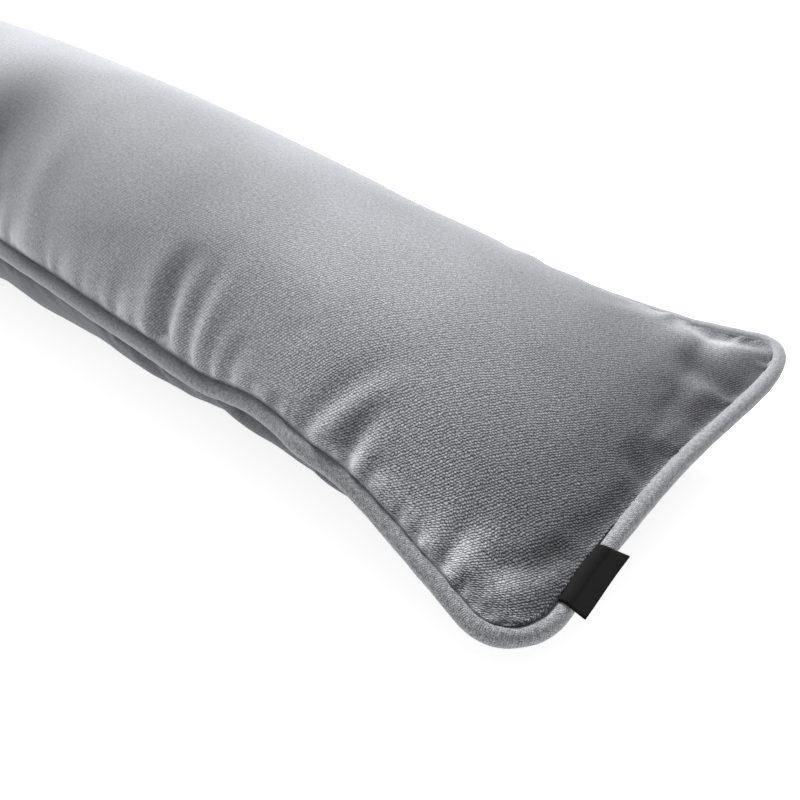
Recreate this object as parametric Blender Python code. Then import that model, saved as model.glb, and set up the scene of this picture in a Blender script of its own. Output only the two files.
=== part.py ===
"""A long filled velvet draught excluder that lies along the foot of a door.

Two velvet panels are sewn together round their edge, with a velvet piping cord
caught in the seam and a small black folded tab caught in the seam at one end.
The filling crowns both panels, draws the long sides in between the corners and
gathers the top panel into puckers along the seam.

Metres, +Z up. The length lies along X with the tab's end at +X, the near long
side at -Y, and the origin is under the middle on the flat that it rests on.
"""

import bpy
import numpy as np

MM = 0.001

LENGTH = 786 * MM            # from end seam to end seam
PIPING_RADIUS = 3.0 * MM
CLEARANCE = 0.3 * MM         # gap kept between pieces that touch

# The seam from the middle of the near side round the tab's end to the far side.
# The other half of the seam is this half turned half round about Z.
# Columns, in mm: inset from the end of the cover, across (Y), height over the floor.
SEAM_ROWS = (
    (393.0, -63.0, 52.0),
    (320.0, -62.8, 51.5),
    (283.0, -64.0, 50.1),
    (250.0, -65.3, 47.8),
    (216.0, -66.2, 43.9),
    (190.0, -66.6, 41.2),
    (168.0, -66.9, 38.3),
    (157.0, -67.0, 37.6),
    (147.0, -66.6, 38.3),
    (134.0, -66.4, 39.0),
    (120.0, -68.2, 38.6),
    (105.0, -71.4, 37.3),
    (86.0, -72.6, 34.9),
    (67.0, -76.3, 31.4),
    (48.6, -81.1, 27.9),
    (34.0, -85.0, 25.3),
    (22.6, -88.3, 23.4),
    (16.0, -88.8, 22.7),
    (10.5, -86.8, 22.2),
    (6.0, -82.4, 21.8),
    (3.2, -76.0, 21.6),
    (2.4, -68.0, 22.0),
    (4.2, -48.0, 23.8),
    (5.0, -29.5, 25.6),
    (5.7, -5.0, 27.2),
    (5.3, 18.0, 28.8),
    (3.6, 40.0, 30.2),
    (2.0, 62.0, 31.5),
    (1.9, 76.0, 32.6),
    (3.6, 85.5, 33.4),
    (7.2, 92.0, 34.1),
    (13.0, 93.9, 34.3),
    (20.0, 91.6, 34.7),
    (31.0, 87.4, 35.5),
    (45.0, 82.4, 36.9),
    (75.0, 75.8, 40.3),
    (110.0, 71.2, 44.0),
    (150.0, 68.0, 47.0),
    (200.0, 66.0, 49.5),
    (260.0, 64.4, 51.0),
    (320.0, 63.4, 51.7),
)
NEAR_CORNER_ROW = 18         # the rows at the turn of the two corners
FAR_CORNER_ROW = 30

# Height of the two panels along the middle of the cover.
# Columns, in mm: distance from the nearer end, top panel, under panel.
# Under heights below the floor press flat on it.
CROWN_ROWS = (
    (0.0, 27.0, 27.0),
    (6.0, 28.6, 23.5),
    (14.0, 30.6, 18.5),
    (26.0, 35.8, 12.0),
    (45.0, 46.6, 4.0),
    (75.0, 59.0, -4.0),
    (110.0, 70.2, -6.0),
    (150.0, 80.0, -6.0),
    (200.0, 90.8, -6.0),
    (250.0, 98.4, -6.0),
    (320.0, 104.6, -6.0),
    (393.0, 107.0, -6.0),
)
SECTION_SQUARENESS = 2.2     # how flat the panels lie across the middle
SECTION_ROUNDNESS = 0.60     # how steeply the panels leave the seam
# The top panel's section at an end, and the distance from it over which it changes
END_SQUARENESS = 1.6
END_ROUNDNESS = 0.38
END_LEAN = 0.3               # how much higher its farther half is than its nearer one
END_SPREAD = 60 * MM

# Puckers of the top panel that run straight in from the seam.
# Columns, in mm: place along the seam, reach up the panel, width, depth (below
# nought for a raised fold). Along a side the place is the inset from the tab's
# end, and along the end it is the distance across.
SIDE_PUCKER_ROWS = (
    (38.0, 30.0, 5.0, 2.2),
    (46.0, 27.0, 5.0, -1.4),
    (62.0, 12.0, 6.0, 1.1),
    (86.0, 32.0, 4.6, 2.8),
    (94.0, 40.0, 5.0, -2.0),
    (121.0, 13.0, 6.0, 1.3),
    (145.0, 20.0, 5.5, 1.5),
    (166.0, 38.0, 5.0, 1.6),
    (181.0, 42.0, 5.0, 3.0),
    (190.0, 36.0, 5.0, -1.9),
    (209.0, 20.0, 5.5, 1.5),
    (247.0, 20.0, 7.0, 1.5),
    (290.0, 26.0, 7.0, 1.5),
    (335.0, 20.0, 7.0, 1.3),
    (372.0, 26.0, 7.0, 1.4),
)
END_PUCKER_ROWS = (
    (-40.0, 14.0, 6.0, 1.0),
    (-18.0, 10.0, 5.0, 1.0),
    (-3.0, 16.0, 6.0, 1.5),
    (9.0, 10.0, 6.0, 1.0),
    (31.0, 20.0, 6.0, 1.5),
    (54.0, 28.0, 6.0, 1.8),
    (64.0, 26.0, 6.0, -1.2),
)
# The rows are used again for the other sides and the plain end, drawn out along
# the seam and at part of their reach and depth.
# Columns: half of the length (1 for the tab's), side (-1 near, 1 far), stretch, share.
SIDE_USES = ((1, -1, 1.0, 1.0), (1, 1, 1.09, 0.6), (-1, -1, 1.16, 0.8), (-1, 1, 1.04, 0.6))
# Columns: end (1 for the tab's), stretch, share.
END_USES = ((1, 1.0, 1.0), (-1, -0.93, 0.8))
PUCKER_ROOT = 2.0 * MM       # over which a pucker reaches its depth

# Mesh steps
STEP_AT_CORNERS = 4.0 * MM
STEP_AT_PUCKERS = 5.6 * MM
STEP_PLAIN = 8.0 * MM
PUCKERED_LENGTH = 330 * MM
CORNER_SPREAD = 20 * MM      # distance from a corner over which the steps widen
POINTS_PER_ROW = 24          # fine points of the seam for each of its rows
SIDE_SAMPLES = 2000          # samples of a side from which its stations are counted
PANEL_STEPS_ACROSS = 18
ACROSS_GRADING = 0.7         # share of the steps that crowd towards the seams
GROOVE_ANGLE = 55.0          # degrees each side of level that the cover hugs the piping
GROOVE_STEPS = 3
PIPING_SIDES = 8

# The folded tab in the end seam
TAB_ROOT = (-66.5 * MM, -40.4 * MM)   # its two edges across the cover, in the seam
TAB_TIP = (-66.7 * MM, -37.2 * MM)    # and at its fold
TAB_THICKNESS = 1.0 * MM
TAB_REACH = 7.8 * MM         # out from the middle of the piping
TAB_STEPS = 6
TAB_ROOT_ANGLE = 62.0        # degrees up from level where it leaves the seam
TAB_BEND_ANGLE = 128.0       # degrees where it leaves the piping
TAB_BEND_STEPS = 4
TAB_DROOP = 18.0             # degrees below level of its free part

VELVET_GREY = (0.33, 0.34, 0.36)
PIPING_GREY = (0.42, 0.43, 0.45)
TAB_BLACK = (0.012, 0.012, 0.012)


def smooth_loop(rows):
    """Closed Catmull-Rom curve through the rows, with POINTS_PER_ROW points for each."""
    before, after, beyond = (np.roll(rows, n, axis=0) for n in (1, -1, -2))
    t = (np.arange(POINTS_PER_ROW) / POINTS_PER_ROW)[None, :, None]
    p0, p1, p2, p3 = (p[:, None, :] for p in (before, rows, after, beyond))
    curve = 0.5 * (2 * p1 + (p2 - p0) * t + (2 * p0 - 5 * p1 + 4 * p2 - p3) * t**2
                   + (3 * p1 - p0 - 3 * p2 + p3) * t**3)
    return curve.reshape(-1, 3)


def seam_curve():
    """The whole seam as a fine closed curve, and the indices of its four corners."""
    inset, across, height = (np.array(SEAM_ROWS) * MM).T
    half = np.stack([LENGTH / 2 - inset, across, height], axis=1)
    other = half * (-1, -1, 1)
    corners = [row * POINTS_PER_ROW for row in (NEAR_CORNER_ROW, FAR_CORNER_ROW,
                                                len(half) + NEAR_CORNER_ROW,
                                                len(half) + FAR_CORNER_ROW)]
    return smooth_loop(np.concatenate([half, other])), corners


def smooth_table(x, places, values):
    """Cubic through a table's rows with the mean slope of its neighbours, level at the end."""
    slopes = np.gradient(values, places)
    slopes[-1] = 0.0
    i = np.clip(np.searchsorted(places, x, side="right") - 1, 0, len(places) - 2)
    span = places[i + 1] - places[i]
    t = (x - places[i]) / span
    return ((2 * t**3 - 3 * t**2 + 1) * values[i] + (t**3 - 2 * t**2 + t) * span * slopes[i]
            + (3 * t**2 - 2 * t**3) * values[i + 1] + (t**3 - t**2) * span * slopes[i + 1])


def run_lengths(points):
    """Distance along a line of points from its first point."""
    steps = np.linalg.norm(np.diff(points, axis=0), axis=1)
    return np.concatenate([[0.0], np.cumsum(steps)])


def stations_along(side):
    """Fractions of a long side's length, closer together at its corners and puckers.

    The side runs towards the tab's end. The step is a function of the distance to
    the end, and the stations are equal parts of the sum of 1 / step.
    """
    total = run_lengths(side)[-1]
    s = np.linspace(0.0, total, SIDE_SAMPLES)
    to_tab, to_plain = total - s, s
    plain = np.clip((to_tab - PUCKERED_LENGTH) / PUCKERED_LENGTH, 0, 1)
    step = STEP_AT_PUCKERS + (STEP_PLAIN - STEP_AT_PUCKERS) * plain
    corner = np.exp(-np.minimum(to_tab, to_plain) / CORNER_SPREAD)
    step = step + (STEP_AT_CORNERS - step) * corner
    counted = np.concatenate([[0.0], np.cumsum((s[1] - s[0]) / step[1:])])
    wanted = np.linspace(0.0, counted[-1], int(round(counted[-1])) + 1)
    return np.interp(wanted, counted, s) / total


def stations_across():
    """Fractions across an end, closer together at the corners."""
    even = np.linspace(0.0, 1.0, PANEL_STEPS_ACROSS + 1)
    return ACROSS_GRADING * 0.5 * (1 - np.cos(np.pi * even)) + (1 - ACROSS_GRADING) * even


def resample(side, fractions):
    """Points at the given fractions of a side's length."""
    run = run_lengths(side)
    return np.stack([np.interp(fractions * run[-1], run, side[:, k]) for k in range(3)], 1)


def seam_stations():
    """The seam at the mesh's stations, as one loop, with the counts along and across."""
    curve, (near, far, near_back, far_back) = seam_curve()
    count = len(curve)

    def piece(first, last):
        """The fine points from one corner to the next, going round."""
        return curve[np.arange(first, last + (count if last < first else 0) + 1) % count]

    near_side = piece(far_back, near)
    along = stations_along(near_side)
    across = stations_across()
    loop = [
        resample(near_side, along)[:-1],
        resample(piece(near, far), across)[:-1],
        resample(piece(far, near_back), 1 - along[::-1])[:-1],
        resample(piece(near_back, far_back), across)[:-1],
    ]
    return np.concatenate(loop), len(along) - 1, len(across) - 1


def inward_of(loop):
    """Level unit vectors that point from the seam into the cover."""
    tangent = np.roll(loop, -1, axis=0) - np.roll(loop, 1, axis=0)
    inward = np.stack([-tangent[:, 1], tangent[:, 0], np.zeros(len(loop))], axis=1)
    return inward / np.linalg.norm(inward, axis=1, keepdims=True)


def ring_round(loop, radius, degrees):
    """The seam moved by radius, at an angle up from the inward direction."""
    angle = np.radians(degrees)
    up = np.array([0.0, 0.0, 1.0])
    return loop + radius * (np.cos(angle) * inward_of(loop) + np.sin(angle) * up)


def sides_of(loop, along, across):
    """Split a loop into near, tab-end, far and plain-end sides, each with both corners."""
    a, b, c = along, along + across, 2 * along + across
    closed = np.concatenate([loop, loop[:1]])
    return closed[:a + 1], closed[a:b + 1], closed[b:c + 1], closed[c:]


def fill_patch(loop, along, across):
    """Coons patch inside a loop: sum of the two ruled surfaces less the corner one."""
    near, tab_end, far, plain_end = sides_of(loop, along, across)
    far, plain_end = far[::-1], plain_end[::-1]
    u = np.linspace(0, 1, along + 1)[:, None, None]
    v = np.linspace(0, 1, across + 1)[None, :, None]
    ruled_along = (1 - v) * near[:, None] + v * far[:, None]
    ruled_across = (1 - u) * plain_end[None] + u * tab_end[None]
    corners = ((1 - u) * ((1 - v) * near[0] + v * far[0])
               + u * ((1 - v) * near[-1] + v * far[-1]))
    return ruled_along + ruled_across - corners


def across_share(patch):
    """How far each point lies across the patch, from -1 at the near seam to 1."""
    steps = np.linalg.norm(np.diff(patch[:, :, :2], axis=1), axis=2)
    run = np.concatenate([np.zeros((len(patch), 1)), np.cumsum(steps, axis=1)], axis=1)
    return 2 * run / run[:, -1:] - 1


def crown(patch, column):
    """Raise or lower a patch: seam height plus the middle's rise times the section.

    The section is (1 - |k| ** squareness) ** roundness, with k across the cover. On
    the top panel its squareness, roundness and lean change towards the two ends.
    """
    table = np.array(CROWN_ROWS) * MM
    to_end = LENGTH / 2 - np.abs(patch[:, :, 0])
    middle = smooth_table(to_end, table[:, 0], table[:, column])
    k = across_share(patch)
    end = np.exp(-to_end / END_SPREAD) if column == 1 else np.zeros_like(k)
    squareness = SECTION_SQUARENESS + (END_SQUARENESS - SECTION_SQUARENESS) * end
    roundness = SECTION_ROUNDNESS + (END_ROUNDNESS - SECTION_ROUNDNESS) * end
    section = (1 - np.abs(k)**squareness) ** roundness
    section *= 1 + END_LEAN * end * k * np.sign(patch[:, :, 0])
    seam_height = patch[:, :, 2]
    rise = middle - seam_height
    rise = np.maximum(rise, 0) if column == 1 else np.minimum(rise, 0)
    lifted = patch.copy()
    lifted[:, :, 2] = np.maximum(seam_height + rise * section, 0.0)
    return lifted


def grid_normals(patch):
    """Unit normals of a grid of points, upwards on the top panel."""
    normal = np.cross(np.gradient(patch, axis=0), np.gradient(patch, axis=1))
    return normal / np.linalg.norm(normal, axis=2, keepdims=True)


def furrow(along, inward, row, stretch, share):
    """Depth of one pucker: a Gaussian across it that grows from the seam, then fades."""
    place, reach, width, depth = np.array(row) * MM
    across = np.exp(-((along - place * stretch) / width) ** 2)
    grown = 1 - np.exp(-inward / PUCKER_ROOT)
    fade = np.cos(0.5 * np.pi * np.clip(inward / (reach * share), 0, 1))
    return depth * share * across * grown * fade


def distances(patch, axis):
    """Distance over the panel from the two seams that an axis of the grid joins."""
    steps = np.linalg.norm(np.diff(patch, axis=axis), axis=2)
    run = np.insert(np.cumsum(steps, axis=axis), 0, 0.0, axis=axis)
    return run, run.take([-1], axis=axis) - run


def pucker(patch):
    """Press the puckers into the top panel along its normals."""
    from_near, from_far = distances(patch, axis=1)
    from_plain, from_tab = distances(patch, axis=0)
    x, y = patch[:, :, 0], patch[:, :, 1]
    depth = np.zeros(patch.shape[:2])
    for half, side, stretch, share in SIDE_USES:
        inward = from_near if side < 0 else from_far
        for row in SIDE_PUCKER_ROWS:
            depth += furrow(LENGTH / 2 - half * x, inward, row, stretch, share)
    for half, stretch, share in END_USES:
        inward = from_tab if half > 0 else from_plain
        for row in END_PUCKER_ROWS:
            depth += furrow(y, inward, row, stretch, share)
    return patch - depth[:, :, None] * grid_normals(patch)


def quads_between(lower, upper):
    """Quads that join two closed loops of vertex numbers."""
    return [(lower[i], lower[(i + 1) % len(lower)], upper[(i + 1) % len(lower)], upper[i])
            for i in range(len(lower))]


def border_numbers(along, across):
    """Vertex numbers of a grid's border, in the seam's order."""
    grid = np.arange((along + 1) * (across + 1)).reshape(along + 1, across + 1)
    border = [grid[:-1, 0], grid[-1, :-1], grid[:0:-1, -1], grid[0, :0:-1]]
    return np.concatenate(border)


def grid_quads(along, across):
    """Quads of a grid, facing up."""
    grid = np.arange((along + 1) * (across + 1)).reshape(along + 1, across + 1)
    corners = (grid[:-1, :-1], grid[1:, :-1], grid[1:, 1:], grid[:-1, 1:])
    return np.stack([c.ravel() for c in corners], axis=1)


def add_object(name, points, faces, colour, roughness):
    """Make a smooth-shaded mesh object with its own material."""
    mesh = bpy.data.meshes.new(name)
    mesh.from_pydata([tuple(map(float, p)) for p in points], [],
                     [tuple(map(int, f)) for f in faces])
    mesh.shade_smooth()
    material = bpy.data.materials.new(name + "_cloth")
    material.use_nodes = True
    shader = material.node_tree.nodes["Principled BSDF"]
    shader.inputs["Base Color"].default_value = (*colour, 1.0)
    shader.inputs["Roughness"].default_value = roughness
    shader.inputs["Metallic"].default_value = 0.0
    mesh.materials.append(material)
    made = bpy.data.objects.new(name, mesh)
    bpy.context.collection.objects.link(made)
    return made


def make_cushion(loop, along, across):
    """The filled cover: two crowned panels joined by a groove that hugs the piping."""
    half_step = np.radians(GROOVE_ANGLE / GROOVE_STEPS)
    radius = (PIPING_RADIUS + CLEARANCE) / np.cos(half_step)
    angles = np.linspace(GROOVE_ANGLE, -GROOVE_ANGLE, GROOVE_STEPS + 1)
    rings = [ring_round(loop, radius, angle) for angle in angles]
    top = pucker(crown(fill_patch(rings[0], along, across), column=1))
    under = crown(fill_patch(rings[-1], along, across), column=2)

    top_points = top.reshape(-1, 3)
    under_points = under.reshape(-1, 3)
    count = len(top_points)
    faces = list(grid_quads(along, across))
    faces += list(grid_quads(along, across)[:, ::-1] + count)
    border = border_numbers(along, across)
    middle_rings = rings[1:-1]
    loops = [border]
    loops += [2 * count + n * len(loop) + np.arange(len(loop)) for n in range(len(middle_rings))]
    loops += [border + count]
    for upper, lower in zip(loops[:-1], loops[1:]):
        faces += quads_between(lower, upper)
    points = np.concatenate([top_points, under_points, *middle_rings])
    return add_object("cushion", points, faces, VELVET_GREY, 0.9)


def make_piping(loop):
    """The covered cord: a closed tube round the seam."""
    turn = 360.0 / PIPING_SIDES
    rings = [ring_round(loop, PIPING_RADIUS, turn * (n + 0.5)) for n in range(PIPING_SIDES)]
    numbers = [n * len(loop) + np.arange(len(loop)) for n in range(PIPING_SIDES)]
    faces = []
    for n in range(PIPING_SIDES):
        faces += quads_between(numbers[(n + 1) % PIPING_SIDES], numbers[n])
    return add_object("piping", np.concatenate(rings), faces, PIPING_GREY, 0.9)


def make_tab():
    """The folded tab: it leaves the seam over the piping and stands out past it."""
    curve, corners = seam_curve()
    end = curve[corners[0]:corners[1] + 1]
    across = np.linspace(*TAB_ROOT, TAB_STEPS + 1)
    flare = np.linspace(*TAB_TIP, TAB_STEPS + 1) - across
    line = np.stack([np.interp(across, end[:, 1], end[:, 0]), across,
                     np.interp(across, end[:, 1], end[:, 2])], axis=1)
    tangent = np.gradient(line, axis=0)
    outward = np.stack([tangent[:, 1], -tangent[:, 0], np.zeros(len(line))], axis=1)
    outward /= np.linalg.norm(outward, axis=1, keepdims=True)

    angles = np.radians(np.linspace(TAB_ROOT_ANGLE, TAB_BEND_ANGLE, TAB_BEND_STEPS + 1))
    seat = (PIPING_RADIUS + CLEARANCE) / np.cos((angles[1] - angles[0]) / 2)
    droop = np.radians(TAB_DROOP)

    def section(radius, reach):
        """Out and up distances of one face of the tab: round the piping, then straight."""
        out, up = -radius * np.cos(angles), radius * np.sin(angles)
        tip_up = up[-1] - (reach - out[-1]) * np.tan(droop)
        return np.append(out, reach), np.append(up, tip_up)

    upper_out, upper_up = section(seat + TAB_THICKNESS, TAB_REACH)
    lower_out, lower_up = section(seat, TAB_REACH - TAB_THICKNESS * np.sin(droop))
    out = np.concatenate([upper_out, lower_out[::-1]])
    up = np.concatenate([upper_up, lower_up[::-1]])
    ring = (line[:, None] + out[None, :, None] * outward[:, None]
            + up[None, :, None] * np.array([0.0, 0.0, 1.0]))
    ring[:, :, 1] += flare[:, None] * np.clip(out / TAB_REACH, 0, 1)
    count = len(out)
    points = ring.reshape(-1, 3)
    faces = []
    for n in range(TAB_STEPS):
        faces += quads_between(n * count + np.arange(count), (n + 1) * count + np.arange(count))
    for first, order in ((0, 1), (TAB_STEPS * count, -1)):
        half = count // 2
        for k in range(half - 1):
            faces.append((first + k, first + count - 1 - k, first + count - 2 - k,
                          first + k + 1)[::order])
    return add_object("label_tab", points, faces, TAB_BLACK, 0.6)


def main():
    """Clear the scene and build the three pieces."""
    for old in list(bpy.data.objects):
        bpy.data.objects.remove(old)
    loop, along, across = seam_stations()
    make_cushion(loop, along, across)
    make_piping(loop)
    make_tab()


main()
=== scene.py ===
"""Looks of a long velvet draught excluder, dressed over the solids of its part.

Two velvet panels are sewn round their edge with a covered piping cord and a small
black folded tab. The filling crowns both panels, draws in the long sides and
gathers the cloth along the seam. Metres, +Z up: the length lies along X with the
tab's end at +X, the near long side at -Y, and the floor at nought.
"""

import logging
import math
from dataclasses import dataclass, field
from enum import Enum
from typing import Any, Sequence, Union

import bpy
import numpy as np
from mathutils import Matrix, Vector


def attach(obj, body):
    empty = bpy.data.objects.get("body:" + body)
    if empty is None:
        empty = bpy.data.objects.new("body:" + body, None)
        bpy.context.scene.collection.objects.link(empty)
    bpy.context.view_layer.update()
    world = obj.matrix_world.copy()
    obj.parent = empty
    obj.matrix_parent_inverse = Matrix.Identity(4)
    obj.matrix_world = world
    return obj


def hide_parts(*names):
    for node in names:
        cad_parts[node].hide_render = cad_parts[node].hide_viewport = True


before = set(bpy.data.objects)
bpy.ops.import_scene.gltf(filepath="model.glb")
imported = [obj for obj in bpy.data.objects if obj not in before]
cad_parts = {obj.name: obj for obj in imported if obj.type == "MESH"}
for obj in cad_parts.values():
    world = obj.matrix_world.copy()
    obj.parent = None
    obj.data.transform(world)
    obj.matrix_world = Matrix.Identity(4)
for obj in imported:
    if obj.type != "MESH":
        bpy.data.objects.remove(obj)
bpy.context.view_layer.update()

log = logging.getLogger("draught_excluder")

MM = 0.001
CLOTH_MAP = "cloth"  # place on the cloth, in metres
NAP_AND_PAINTED_LIGHT = "nap_and_painted_light"  # tone of the brushed pile, with painted light and painted shade in it

# The seam from the middle of the near side round the tab's end to the far side.
# The other half of the seam is this half turned half round about Z.
# Columns, in mm: inset from the end of the cover, across (Y), height over the floor.
SEAM_ROWS = (
    (393.0, -63.0, 52.0),
    (320.0, -62.8, 51.5),
    (283.0, -64.0, 50.1),
    (250.0, -65.3, 47.8),
    (216.0, -66.2, 43.9),
    (190.0, -66.6, 41.2),
    (168.0, -66.9, 38.3),
    (157.0, -67.0, 37.6),
    (147.0, -66.6, 38.3),
    (134.0, -66.4, 39.0),
    (120.0, -68.2, 38.6),
    (105.0, -71.4, 37.3),
    (86.0, -72.6, 34.9),
    (67.0, -76.3, 31.4),
    (48.6, -81.1, 27.9),
    (34.0, -85.0, 25.3),
    (22.6, -88.3, 23.4),
    (16.0, -88.8, 22.7),
    (10.5, -86.8, 22.2),
    (6.0, -82.4, 21.8),
    (3.2, -76.0, 21.6),
    (2.4, -68.0, 22.0),
    (4.2, -48.0, 23.8),
    (5.0, -29.5, 25.6),
    (5.7, -5.0, 27.2),
    (5.3, 18.0, 28.8),
    (3.6, 40.0, 30.2),
    (2.0, 62.0, 31.5),
    (1.9, 76.0, 32.6),
    (3.6, 85.5, 33.4),
    (7.2, 92.0, 34.1),
    (13.0, 93.9, 34.3),
    (20.0, 91.6, 34.7),
    (31.0, 87.4, 35.5),
    (45.0, 82.4, 36.9),
    (75.0, 75.8, 40.3),
    (110.0, 71.2, 44.0),
    (150.0, 68.0, 47.0),
    (200.0, 66.0, 49.5),
    (260.0, 64.4, 51.0),
    (320.0, 63.4, 51.7),
)
NEAR_CORNER_ROW = 18  # the rows at the turn of the two corners
FAR_CORNER_ROW = 30

# Height of the two panels along the middle of the cover. Heights below nought
# press flat on the floor.
# Columns, in mm: distance from the nearer end, top panel, under panel.
CROWN_ROWS = (
    (0.0, 27.0, 27.0),
    (6.0, 28.6, 23.5),
    (14.0, 30.6, 18.5),
    (26.0, 35.8, 12.0),
    (45.0, 46.6, 4.0),
    (75.0, 59.0, -4.0),
    (110.0, 70.2, -6.0),
    (150.0, 80.0, -6.0),
    (200.0, 90.8, -6.0),
    (250.0, 98.4, -6.0),
    (320.0, 104.6, -6.0),
    (393.0, 107.0, -6.0),
)

# Folds that run in from the seam of a long side.
# Columns: inset from the end, reach over the panel, width, depth (below nought for a
# raised fold), all in mm, and lean (mm along for each mm inwards).
SIDE_FOLD_ROWS = (
    (15.0, 7.0, 2.2, -0.5, 0.0),
    (19.5, 7.0, 2.2, 0.7, 0.0),
    (25.0, 9.0, 2.2, -0.4, 0.0),
    (28.5, 7.0, 2.0, 0.8, 0.0),
    (31.0, 16.0, 2.8, -0.5, 0.0),
    (38.0, 26.0, 3.0, 1.8, 0.02),
    (42.0, 15.0, 2.8, -0.5, 0.0),
    (49.5, 9.0, 2.6, 0.9, 0.0),
    (53.0, 9.0, 2.4, -0.5, 0.0),
    (58.5, 6.0, 2.2, 0.7, 0.0),
    (62.0, 14.0, 2.6, -0.4, 0.20),
    (67.0, 7.0, 2.0, 0.5, 0.0),
    (69.0, 9.0, 2.2, -0.6, 0.0),
    (75.0, 14.0, 2.4, 0.9, -0.10),
    (79.0, 20.0, 2.8, -0.6, -0.03),
    (86.0, 30.0, 3.2, 2.1, -0.03),
    (88.0, 7.0, 2.0, -0.4, 0.0),
    (93.0, 6.0, 2.0, 0.7, 0.0),
    (98.5, 48.0, 4.4, -0.8, -0.32),
    (106.5, 48.0, 4.6, 1.2, -0.32),
    (110.5, 8.0, 2.6, -0.4, 0.0),
    (120.5, 9.0, 2.8, 1.0, 0.0),
    (126.0, 9.0, 2.6, -0.4, 0.0),
    (134.5, 9.0, 2.6, 1.0, 0.0),
    (139.0, 11.0, 2.4, -0.5, 0.0),
    (146.0, 24.0, 3.0, 1.0, -0.08),
    (150.0, 27.0, 2.8, -0.6, -0.06),
    (156.0, 25.0, 2.6, 0.7, -0.04),
    (160.0, 50.0, 3.8, -0.9, 0.02),
    (167.5, 44.0, 3.2, 1.4, 0.0),
    (181.5, 44.0, 4.0, 3.7, 0.0),
    (183.5, 14.0, 2.8, 1.6, 0.0),
    (189.0, 40.0, 4.6, -1.3, 0.05),
    (196.5, 8.0, 2.4, 0.6, 0.0),
    (200.5, 16.0, 2.8, -0.5, -0.10),
    (208.0, 24.0, 3.4, 1.0, -0.08),
    (212.5, 24.0, 2.8, -0.4, -0.04),
    (220.5, 13.0, 2.6, 0.6, 0.0),
    (227.5, 18.0, 2.6, 0.6, 0.0),
    (234.0, 20.0, 3.6, -0.4, 0.0),
    (243.5, 18.0, 3.0, 0.8, -0.10),
    (251.5, 18.0, 2.8, 0.6, 0.0),
    (262.0, 70.0, 7.0, -1.2, 0.08),
    (276.5, 18.0, 3.4, 0.8, 0.0),
    (288.5, 24.0, 4.6, 1.3, 0.0),
    (303.5, 95.0, 15.0, 2.7, -0.05),
    (320.5, 18.0, 4.2, 1.1, 0.0),
    (335.5, 20.0, 5.0, 1.2, 0.0),
    (351.5, 14.0, 4.0, 1.0, 0.0),
    (370.5, 25.0, 6.0, 1.4, 0.0),
    (383.5, 12.0, 4.0, 0.8, 0.0),
)
# Folds that run in from the end seam.
# Columns: place across, reach, width, depth, all in mm, and lean (mm across for
# each mm inwards).
END_FOLD_ROWS = (
    (-39.5, 16.0, 4.5, 1.2, 0.30),
    (-31.0, 8.0, 3.6, 0.8, 0.40),
    (-18.0, 9.0, 3.8, 0.9, 0.20),
    (-4.0, 17.0, 5.0, 2.2, 0.40),
    (8.0, 8.0, 4.0, 0.8, 0.30),
    (16.0, 18.0, 5.0, -0.8, -0.05),
    (31.0, 20.0, 5.0, 2.1, 0.40),
    (42.0, 10.0, 3.6, 0.8, 0.10),
    (49.5, 30.0, 5.0, -1.2, -0.04),
    (54.0, 30.0, 5.5, 1.9, 0.16),
)
# Bent creases at the two corners of an end.
# Columns, in mm: inset and across of three points, width, depth.
CORNER_CREASE_ROWS = (
    (24.0, -71.0, 17.0, -63.0, 13.5, -53.0, 4.6, 1.2),
    (19.0, -82.0, 12.0, -73.0, 8.0, -61.0, 4.0, -0.9),
    (42.0, 73.0, 27.0, 70.5, 17.0, 77.0, 8.5, -0.8),
    (34.0, 80.0, 26.0, 82.0, 14.0, 87.0, 4.2, 1.6),
)

# Patches in the tab's half where the pile is lighter or darker: partly brushed another way, partly
# painted light and painted shade.
# Columns: inset, across, radius along and radius across, all in mm, and power of e by
# which the patch is lighter.
BRUSHED_AND_PAINTED_LIGHT_ROWS = (
    (308.0, -36.0, 28.0, 26.0, -0.92),
    (260.0, -60.0, 18.0, 13.0, 0.20),
    (240.0, -6.0, 66.0, 38.0, -0.23),
    (155.0, 55.0, 90.0, 26.0, -0.30),
    (205.0, -26.0, 16.0, 22.0, -0.20),
    (178.0, -46.0, 16.0, 12.0, -0.15),
    (110.0, -62.0, 14.0, 16.0, -0.16),
    (96.0, -66.0, 6.0, 8.0, -0.14),
    (80.0, -73.0, 10.0, 6.0, 0.30),
    (115.0, 0.0, 34.0, 30.0, 0.10),
    (31.0, -72.0, 15.0, 11.0, 0.62),
    (20.0, -80.0, 8.0, 6.0, -0.50),
    (11.0, -31.0, 9.0, 11.0, 0.30),
    (8.0, -76.0, 7.0, 9.0, 0.45),
    (20.0, 77.0, 14.0, 11.0, 0.42),
    (42.0, 68.0, 14.0, 9.0, 0.25),
    (20.0, 62.0, 8.0, 6.0, -0.42),
    (76.0, 66.0, 22.0, 10.0, -0.18),
)

# Broad tucks of the under panel at the near side, in the same columns as the folds
# of a side.
UNDER_TUCK_ROWS = (
    (98.0, 62.0, 10.0, 1.4, 0.0),
    (162.0, 65.0, 14.0, 3.9, 0.0),
    (240.0, 60.0, 18.0, 1.5, 0.0),
)

# Small puckers all along a seam, as cosine waves.
# Columns: length of the wave in mm, and its start in radians.
PUCKER_WAVES = ((5.3, 0.4), (6.9, 2.2), (8.7, 4.9), (11.9, 1.1), (17.3, 3.3))

# Unevenness of the piping, as cosine waves.
# Columns: waves in the whole seam, and their start in radians.
PIPING_WAVES = ((31, 0.3), (47, 1.9), (83, 4.1), (118, 2.6), (171, 5.5))

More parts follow.
